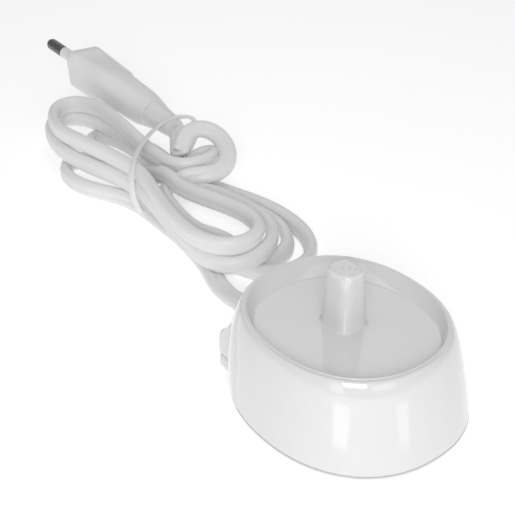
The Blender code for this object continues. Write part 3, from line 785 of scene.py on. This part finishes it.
# ------------------------------------------------------------------ the plug
@dataclass
class Plug:
    """Two-pin plug body, rolled on its long axis, with its pocket for the pin bridge."""

    palette: Palette
    width: float = 35.3
    thick: float = 16.0
    length: float = 35.0
    end_width: float = 12.8
    end_thick: float = 9.8
    shoulder: float = 0.56
    side: float = 0.1
    at: tuple[float, float, float] = (36.1, 172.2, 15.9)
    turn: float = -2.7
    tilt: float = 5.0
    roll: float = 45.0
    pocket: tuple[float, float, float] = (25.0, 8.0, 8.0)
    count: int = 160 if FULL else 80
    made: list[bpy.types.Object] = field(default_factory=list)

    @property
    def frame(self) -> tuple[Array, Array, Array]:
        """Unit axes: out of the pin face, across the width, through the thickness."""
        turn, tilt, roll = (math.radians(a) for a in (self.turn, self.tilt, self.roll))
        nose = np.array([math.sin(turn) * math.cos(tilt), math.cos(turn) * math.cos(tilt), math.sin(tilt)])
        side = np.cross(nose, [0.0, 0.0, 1.0])
        side /= np.linalg.norm(side)
        lift = np.cross(side, nose)
        c, s = math.cos(roll), math.sin(roll)
        return nose, side * c - lift * s, side * s + lift * c

    def ring(self, back: float, half_w: float, half_t: float, corner: float) -> Ring:
        """Section of the body, with rounded corners.

        Args:
            back: distance behind the pin face.
            half_w: half width.
            half_t: half thickness.
            corner: radius of the corners.

        Returns:
            The section, in place.
        """
        nose, wide, thick = self.frame
        w, t = half_w - corner, half_t - corner
        x, y = self.shoulder * w, self.side * t
        points = np.array([(w, y), (x, t), (-x, t), (-w, y), (-w, -y), (-x, -t), (x, -t), (w, -y)])
        angle = turns(self.count)
        way = np.column_stack([np.cos(angle), np.sin(angle)])
        flat = points[np.argmax(way @ points.T, axis=1)] + corner * way
        return np.array(self.at) - nose * back + flat[:, :1] * wide + flat[:, 1:] * thick

    def profile(self) -> Array:
        """How the section changes along the body.

        Returns:
            Rows of distance behind the pin face, half width, half thickness and corner radius.
        """
        w, t, n = self.width / 2, self.thick / 2, self.length
        end_w, end_t = self.end_width / 2, self.end_thick / 2
        face = [(0.0, w - 2.3, t - 2.0, 1.2), (0.25, w - 1.8, t - 1.6, 1.3), (1.5, w - 0.5, t - 0.4, 1.5),
                (2.1, w - 0.1, t - 0.1, 1.6)]
        keys = np.array([(2.7, w, t, 1.6), (4.6, w, t, 1.7), (5.6, w - 0.35, t - 0.3, 2.0),
                         (8.0, w - 1.3, t - 0.9, 2.6), (n * 0.38, w * 0.85, t * 0.83, 3.2),
                         (n * 0.55, w * 0.75, t * 0.82, 3.8), (n * 0.72, w * 0.61, t * 0.78, 4.2),
                         (n * 0.88, end_w * 1.18, end_t * 1.12, 4.4), (n * 0.96, end_w, end_t, 4.2)])
        end = [(n - 1.2 * (1 - math.sin(a)), end_w - 0.9 * (1 - math.cos(a)), end_t - 0.9 * (1 - math.cos(a)),
                3.6)
               for a in np.linspace(0.2, math.pi / 2, 5)]
        return np.vstack([face, spline(keys, 0.9), end])

    def build(self) -> None:
        """Makes the body in place of its CAD form."""
        rings = [self.ring(*row) for row in self.profile()]
        body = solid("plug_shell", [skin(rings)], self.palette[WHITE_PLUG])
        nose, wide, thick = self.frame
        centre = np.array(self.at) - nose * self.pocket[2] / 2
        size = (self.pocket[0], self.pocket[1], self.pocket[2] + 0.4)
        tool = block(centre, size, np.array([wide, thick, nose]))
        carve(body, solid("tool_pocket", [tool], None))
        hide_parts("plug_body")
        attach(body, ROOT)
        self.made.append(body)


# ------------------------------------------------------------------ the cord
@dataclass(frozen=True)
class Run:
    """Points of one run of the cord.

    Attributes:
        roll: turn of the section; 0 lies flat and 90 stands on its edge.
        points: what the run goes through.
        fans: whether the run turns its broad side outward from the hank, whatever its roll says.
    """

    roll: float
    points: tuple[tuple[float, float, float], ...]
    fans: bool = False


ROUTE: tuple[Run, ...] = (
    Run(0.0, ((0, 41.05, 4.4), (0, 44.05, 4.35), (0.4, 48.6, 3.4), (0.9, 53, 3.05), (5, 62, 2),
        (7.4, 69.7, 2), (9, 76.5, 2), (9.8, 85, 2), (10, 95, 2.2))),
    Run(90.0, ((9.7, 104, 2.9), (8.3, 110, 2.9), (5.6, 116, 2.9), (2.2, 122, 2.9), (0, 129, 2.9),
        (0.4, 136, 2.9), (3.4, 142, 2.9), (8.6, 144, 2.9), (13, 140.5, 2.9), (15, 133, 2.9),
        (15, 124, 2.9), (14.5, 115, 2.9), (14, 106, 2.9))),
    Run(75.0, ((14, 98, 2.9), (13.4, 88, 2.9), (12.4, 77, 2.9), (11.3, 67, 2.9), (11, 59, 2.9),
        (13.5, 52, 2.9), (19, 47.6, 2.9), (25.5, 46.5, 2.9), (31.4, 48.9, 2.9), (35.6, 54, 2.9),
        (38.5, 61.4, 2.9), (39.2, 70.7, 2.9), (38, 81, 2.9), (35, 92, 2.9), (31.5, 102, 2.9),
        (29, 111, 3.5))),
    Run(90.0, ((27.5, 118, 5.5), (25.5, 126, 8), (24.6, 137, 8.7), (24.2, 150, 8.7), (21, 160.5, 8.7),
        (14, 163.8, 8.7), (7.8, 158.5, 8.7), (5, 150, 8.7), (3.2, 141, 8.7), (4, 132, 8.7), (6, 123, 8.7),
        (8.4, 115, 8.7), (10, 107, 8.7))),
    Run(90.0, ((9.2, 98, 8.2), (7, 88, 7.4), (4.6, 77, 6.9), (3.2, 66, 6.7), (3.6, 58.5, 6.7),
        (6.5, 53.8, 6.7), (11.5, 52, 6.7), (17.5, 53, 6.7), (23, 56.6, 6.7), (27.6, 61.8, 6.7),
        (30.2, 69, 6.7), (30.2, 77, 6.7), (29, 86, 6.7), (26.8, 96, 6.7), (25.3, 105, 6.5))),
    Run(90.0, ((25.5, 114, 4.5), (26.6, 122, 2.9), (27.6, 131, 2.9), (28, 141, 2.9), (26.8, 150, 2.9),
        (22.4, 155, 2.9), (18.2, 151, 2.9), (17.4, 141, 2.9), (18.2, 130, 2.9), (19, 119, 4.5),
        (18.6, 109, 8))),
    Run(90.0, ((17, 100, 10.2), (16.2, 92, 11.6), (17.6, 83.4, 12.4), (19.7, 77, 12.4), (21.5, 70, 12.4),
        (21.9, 63.4, 12.4), (20.2, 58.2, 12.4), (16.2, 54.7, 12.4), (10.7, 53.6, 12.4), (6, 55.8, 12.4),
        (3.2, 60.6, 12.4), (2.2, 68, 12.4), (3.4, 77.3, 12.4), (6.6, 90, 12.2), (9.6, 100.4, 12))),
    Run(90.0, ((10.6, 108, 12.4), (9.6, 116, 13.2), (7.6, 126, 14.2), (5.4, 135.5, 14.3),
        (4.3, 144, 14.3), (6.2, 151.5, 14.3), (10, 158.3, 14.3), (15.6, 161.5, 14.3), (21.3, 158.9, 14.3),
        (24, 151, 14.3), (23.6, 143, 14.2), (23.1, 134.9, 14), (22.4, 127, 13.2), (22.2, 120, 12.2))),
    Run(85.0, ((22.2, 113, 11.4), (22.2, 106.8, 11.2), (24, 102.8, 11.4), (27.5, 101.2, 11.6),
        (32.4, 101, 11.6), (37.6, 102.2, 11.4), (40.6, 106, 10.6), (38.6, 111, 9), (32.5, 112.2, 7.2),
        (28.8, 107.5, 5), (28.4, 100, 3.6))),
    Run(75.0, ((30.5, 90.5, 2.9), (34.3, 82.8, 2.9), (35.9, 75, 2.9), (35.2, 66.4, 2.9), (32, 59.6, 2.9),
        (27.3, 55, 2.9), (21.8, 54, 2.9), (17.2, 57, 3.2), (13.6, 62, 4.8), (10.6, 68, 6.2),
        (9.2, 75, 6.8), (10.2, 83, 6.9), (11.4, 91, 7.2), (13, 99, 7.6), (17.5, 104, 7.8),
        (23.5, 102.5, 8))),
    Run(0.0, ((28, 97, 8.8), (32, 94.4, 9.8), (36.6, 95, 11), (40, 98.6, 12.6), (42.2, 103.4, 14.2),
        (42.4, 109.2, 16.2), (39.4, 113.4, 17.8), (34.6, 114, 17.8), (30.2, 111.4, 15.8),
        (27.4, 108.2, 13)), True),
    Run(30.0, ((28, 109.4, 10.6), (30.2, 113.6, 10), (33.6, 118.6, 10.8), (36.9, 123.4, 12.5))),
)


@dataclass
class Cord:
    """The flat two-core cord, from the stand's relief through the tied hank to the plug's tail."""

    palette: Palette
    width: float = 5.7
    thick: float = 3.8
    groove: float = 0.17
    groove_width: float = 0.55
    settle_step: float = 3.0
    free_length: float = 9.0
    clearance: float = 0.12
    table_clearance: float = 0.05
    push: float = 0.25
    longest_move: float = 0.6
    pull_home: float = 0.03
    bending: float = 0.2
    ring_step: float = 1.3 if FULL else 2.6
    rounds: int = 160
    around: int = 40 if FULL else 24
    ends: int = 3
    outward: tuple[float, float, float] = (-0.52, -0.66, 0.545)
    obj: bpy.types.Object | None = None
    line: Array | None = None

    def draft(self) -> Array:
        """The listed route, evenly spaced.

        Returns:
            Rows of x, y, z and roll.
        """
        rows = np.array([(*point, run.roll, run.fans) for run in ROUTE for point in run.points], float)
        rows = spline(rows, self.settle_step)
        ahead = tangents(rows[:, :3])
        across = np.cross(ahead, [0.0, 0.0, 1.0])
        across /= np.linalg.norm(across, axis=1, keepdims=True)
        outward = np.array(self.outward)
        turned = np.degrees(np.arctan2(-across @ outward, np.cross(across, ahead) @ outward))
        roll = np.where(rows[:, 4] > 0.5, turned, rows[:, 3])
        for i in range(1, len(roll)):
            roll[i] -= 180.0 * round((roll[i] - roll[i - 1]) / 180.0)
        return np.column_stack([rows[:, :3], roll])

    def halves(self, roll: Array) -> tuple[Array, Array]:
        """Half the room that the turned section takes.

        Args:
            roll: turn of the section, degrees.

        Returns:
            The level half and the upright half.
        """
        c, s = np.abs(np.cos(np.radians(roll))), np.abs(np.sin(np.radians(roll)))
        a, b = self.width / 2, self.thick / 2
        return np.hypot(a * c, b * s), np.hypot(a * s, b * c)

    def settle(self, rows: Array) -> Array:
        """Lets crossing runs push each other apart and rest on one another.

        Args:
            rows: x, y, z and roll along the cord.

        Returns:
            The rows, with the points moved.
        """
        rows = rows.copy()
        rows[:, 3:] = smoothed(rows[:, 3:], 3, 2)
        home = rows[:, :3].copy()
        points = home.copy()
        level, upright = self.halves(rows[:, 3])
        count = len(points)
        skip = round(self.free_length / self.settle_step)
        index = np.arange(count)
        near = np.abs(index[:, None] - index[None, :]) <= skip
        sum_level = level[:, None] + level[None, :] + self.clearance
        sum_up = upright[:, None] + upright[None, :] + self.clearance
        for _ in range(self.rounds):
            delta = points[:, None, :] - points[None, :, :]
            flat = np.hypot(delta[..., 0], delta[..., 1]) / sum_level
            tall = np.abs(delta[..., 2]) / sum_up
            norm = np.sqrt(flat**2 + tall**2)
            norm[near] = 9.0
            lack = np.clip(1.0 - norm, 0.0, None)
            lack[lack < 1e-4] = 0.0
            way = delta.copy()
            way[..., 2] = way[..., 2] * (sum_level / sum_up) ** 2
            size = np.linalg.norm(way, axis=2) + 1e-6
            push = (way / size[..., None]) * (lack * np.minimum(sum_level, sum_up))[..., None]
            move = self.push * push.sum(axis=1)
            reach = np.linalg.norm(move, axis=1, keepdims=True)
            move *= np.minimum(1.0, self.longest_move / np.maximum(reach, 1e-9))
            move = smoothed(move, 1)
            points = points + move
            points += (home - points) * self.pull_home
            bend = points.copy()
            bend[1:-1] = 0.5 * points[1:-1] + 0.25 * (points[:-2] + points[2:])
            points = points * (1.0 - self.bending) + bend * self.bending
            points[:, 2] = np.maximum(points[:, 2], upright + self.table_clearance)
            points[: self.ends] = home[: self.ends]
            points[-self.ends:] = home[-self.ends:]
        rows[:, :3] = points
        return rows

    def section(self) -> Array:
        """An oval with a shallow groove down each broad side.

        Returns:
            The section's points, across and through.
        """
        angle = TAU * np.arange(self.around) / self.around
        w = self.width / 2 * signed_power(np.cos(angle), 0.86)
        t = self.thick / 2 * signed_power(np.sin(angle), 0.86)
        t *= 1.0 - self.groove * np.exp(-((w / self.groove_width) ** 2))
        return np.column_stack([w, t])

    def rings(self, rows: Array) -> list[Ring]:
        """Sections along the settled cord.

        Args:
            rows: x, y, z and roll.

        Returns:
            One section a row.
        """
        line = rows[:, :3]
        ahead = tangents(line)
        across = np.cross(ahead, [0.0, 0.0, 1.0])
        across /= np.linalg.norm(across, axis=1, keepdims=True)
        lift = np.cross(across, ahead)
        roll = np.radians(rows[:, 3])[:, None]
        wide = across * np.cos(roll) + lift * np.sin(roll)
        thin = lift * np.cos(roll) - across * np.sin(roll)
        section = self.section()
        return [p + section[:, :1] * w + section[:, 1:] * t for p, w, t in zip(line, wide, thin)]

    def build(self) -> None:
        """Makes the cord in place of its CAD lead, hank and turn."""
        rows = self.settle(self.draft())
        fine = spline(rows, self.ring_step)
        self.line = fine[:, :3]
        self.obj = solid("cord", [skin(self.rings(fine))], self.palette[WHITE_CORD], 60.0)
        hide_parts("cord_lead", "cord_hank", "cord_turn")
        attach(self.obj, ROOT)

    def declare(self, pieces: Sequence[bpy.types.Object]) -> None:
        """Works out the cord's start, its length and width in metres and its points, and keeps none of them.

        Args:
            pieces: not used.
        """
        start = self.line[0] * MM
        round(length_of(self.line) * MM, 3)
        self.width * MM
        (self.line * MM).tolist()


@dataclass
class Tie:
    """Thin white band round the hank's waist and the plug's tail."""

    palette: Palette
    width: float = 2.0
    thick: float = 0.9
    around: int = 20
    step: float = 0.8
    loop: tuple[tuple[float, float, float], ...] = (
        (41.3, 122.6, 15.9), (35, 122.9, 17.4), (27, 120.6, 17.3), (16.5, 113.8, 17.05), (9.6, 107.6, 15.75),
        (6.4, 104.2, 11.95), (6, 102.4, 6.95), (8, 101.8, 2.55), (16, 106, 1.4), (26, 113, 1.4),
        (35, 119, 2.75), (40.8, 122.4, 5.4), (43.8, 123.4, 8.6), (43.9, 123.4, 12.4))
    obj: bpy.types.Object | None = None

    def build(self) -> None:
        """Makes the closed band in place of its CAD form."""
        line = spline(np.array(self.loop, float), self.step, closed=True)
        ahead = tangents(line, closed=True)
        across = np.cross(ahead, line - line.mean(axis=0))
        across /= np.linalg.norm(across, axis=1, keepdims=True)
        out = np.cross(across, ahead)
        angle = TAU * np.arange(self.around) / self.around
        w = self.width / 2 * signed_power(np.cos(angle), 0.5)[:, None]
        t = self.thick / 2 * signed_power(np.sin(angle), 0.5)[:, None]
        rings = [p + w * a + (t + self.thick / 2) * o for p, a, o in zip(line, across, out)]
        self.obj = solid("tie_band", [skin(rings, looped=True)], self.palette[WHITE_TIE], 50.0)
        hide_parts("cord_tie")
        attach(self.obj, ROOT)


# ------------------------------------------------------------------ the studio
@dataclass(frozen=True)
class Softbox:
    """One rectangular lamp; one that only shines is seen in glossy surfaces and nowhere else."""

    name: str
    at: tuple[float, float, float]
    toward: tuple[float, float, float]
    size: tuple[float, float]
    power: float
    shine_only: bool = False

    def build(self) -> None:
        """Hangs the lamp; positions and sizes are in metres."""
        data = bpy.data.lights.new(self.name, "AREA")
        data.shape = "RECTANGLE"
        data.size, data.size_y = self.size
        data.energy = self.power
        obj = bpy.data.objects.new(self.name, data)
        obj.location = self.at
        way = Vector(self.toward) - Vector(self.at)
        obj.rotation_euler = way.to_track_quat("-Z", "Y").to_euler()
        if self.shine_only:
            obj.visible_camera = False
            obj.visible_diffuse = False
        bpy.context.scene.collection.objects.link(obj)


@dataclass(frozen=True)
class Pane:
    """A wedge of bright strips on the table, seen as one upright pane in the stand's wall.

    Attributes:
        name: what its strips are called.
        root: where its two sides would meet, millimetres.
        heading: which way it opens, degrees from +X.
        near: distance from the root to its first strip, millimetres.
        far: distance from the root to its last strip, millimetres.
        spread: angle between its sides, degrees.
        radiance: brightness of its strips.
        strips: how many there are.
    """

    name: str
    root: tuple[float, float]
    heading: float
    near: float
    far: float
    spread: float
    radiance: float
    strips: int = 6

    def build(self) -> None:
        """Lays the strips, each wider than the one before it."""
        edges = np.geomspace(self.near, self.far, self.strips + 1)
        way = np.array([math.cos(math.radians(self.heading)), math.sin(math.radians(self.heading))])
        for index, (low, high) in enumerate(zip(edges, edges[1:])):
            x, y = (np.array(self.root) + way * (low + high) / 2) * MM
            width = (low + high) * math.tan(math.radians(self.spread / 2)) * MM
            depth = (high - low) * MM
            ahead = (x + way[0] * 1e-3, y + way[1] * 1e-3, 1.0)
            power = math.pi * width * depth * self.radiance
            Softbox(f"{self.name}_{index + 1}", (x, y, 0.0006), ahead, (width, depth), power, True).build()


@dataclass
class Studio:
    """Pale table, soft lamps and the camera."""

    camera_at: tuple[float, float, float] = (-0.14705, -0.14835, 0.17648)
    camera_aim: tuple[float, float, float] = (0.01015, 0.0478, 0.012)
    lens: float = 76.9
    sky: float = 0.42
    glow: float = 0.35
    lamps: tuple[Softbox, ...] = (
        Softbox("key", (-0.32, -0.34, 0.30), (0.0, 0.04, 0.0), (0.22, 0.22), 1.15),
        Softbox("front", (-0.10, -0.50, 0.22), (0.0, 0.0, 0.01), (0.24, 0.24), 0.2),
        Softbox("overhead", (0.05, 0.12, 0.60), (0.02, 0.08, 0.0), (0.4, 0.4), 0.45),
        Softbox("far_shine", (0.31, 0.40, 0.33), (0.0, 0.0, 0.02), (0.40, 0.26), 0.20, True),
        Softbox("left_pane_high", (-0.25, -0.135, 0.10), (-0.02, -0.017, 0.02), (0.07, 0.15), 0.04, True),
    )
    panes: tuple[Pane, ...] = (
        Pane("left_pane", (-19.0, -16.5), 213.6, 21.0, 112.0, 20.0, 1.3),
        Pane("right_pane", (-8.5, -27.0), 278.0, 20.0, 110.0, 16.0, 0.9),
    )

    def floor(self) -> bpy.types.Object:
        """The pale table under the object.

        Returns:
            The table.
        """
        half = 0.9
        points = np.array([(-half, -half, 0), (half, -half, 0), (half, half, 0), (-half, half, 0)]) / MM
        finish = Finish("pale_table", (0.97, 0.97, 0.97), (0.95, 0.95, 0.95), 60.0, (0.5, 0.6),
                        grain_mm=2.0, relief=0.001)
        surface = finish.build()
        shader = surface.node_tree.nodes["Principled BSDF"]
        shader.inputs["Emission Color"].default_value = (1.0, 1.0, 1.0, 1.0)
        shader.inputs["Emission Strength"].default_value = self.glow
        table = solid("table", [(points, [(0, 1, 2, 3)])], surface)
        return table

    def build(self) -> None:
        """Sets up the table, the light and the camera."""
        self.floor()
        world = bpy.data.worlds.new("studio")
        world.use_nodes = True
        background = world.node_tree.nodes["Background"]
        background.inputs["Color"].default_value = (1.0, 1.0, 1.0, 1.0)
        background.inputs["Strength"].default_value = self.sky
        bpy.context.scene.world = world
        for light in (*self.lamps, *self.panes):
            light.build()
        data = bpy.data.cameras.new("view")
        data.lens = self.lens
        data.sensor_width = 36.0
        data.clip_start = 0.01
        data.dof.use_dof = False
        camera = bpy.data.objects.new("view", data)
        camera.location = self.camera_at
        way = Vector(self.camera_aim) - Vector(self.camera_at)
        camera.rotation_euler = way.to_track_quat("-Z", "Y").to_euler()
        bpy.context.scene.collection.objects.link(camera)
        bpy.context.scene.camera = camera
        bpy.context.scene.view_settings.view_transform = "Standard"


def main() -> None:
    """Builds the stand, the plug, the cord and the studio, and reports each piece."""
    logging.basicConfig(level=logging.INFO, format="%(message)s")
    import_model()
    palette = Palette()
    palette.dress_cad()
    stand, plug, cord, tie = Stand(palette), Plug(palette), Cord(palette), Tie(palette)
    for assembly in (stand, plug, cord, tie):
        assembly.build()
    for piece in (*stand.made, *plug.made, cord.obj, tie.obj):
        LOG.info("%s: %d faces", piece.name, len(piece.data.polygons))
    nodes = ("cord_relief", "plug_relief", "plug_bridge", "pin_1", "pin_2", "pin_sleeve_1", "pin_sleeve_2")
    cord.declare([*plug.made, tie.obj, *[bpy.data.objects[node] for node in nodes]])
    LOG.info("cord %.3f m long", length_of(cord.line) * MM)
    Studio().build()


if __name__ == "__main__":
    main()
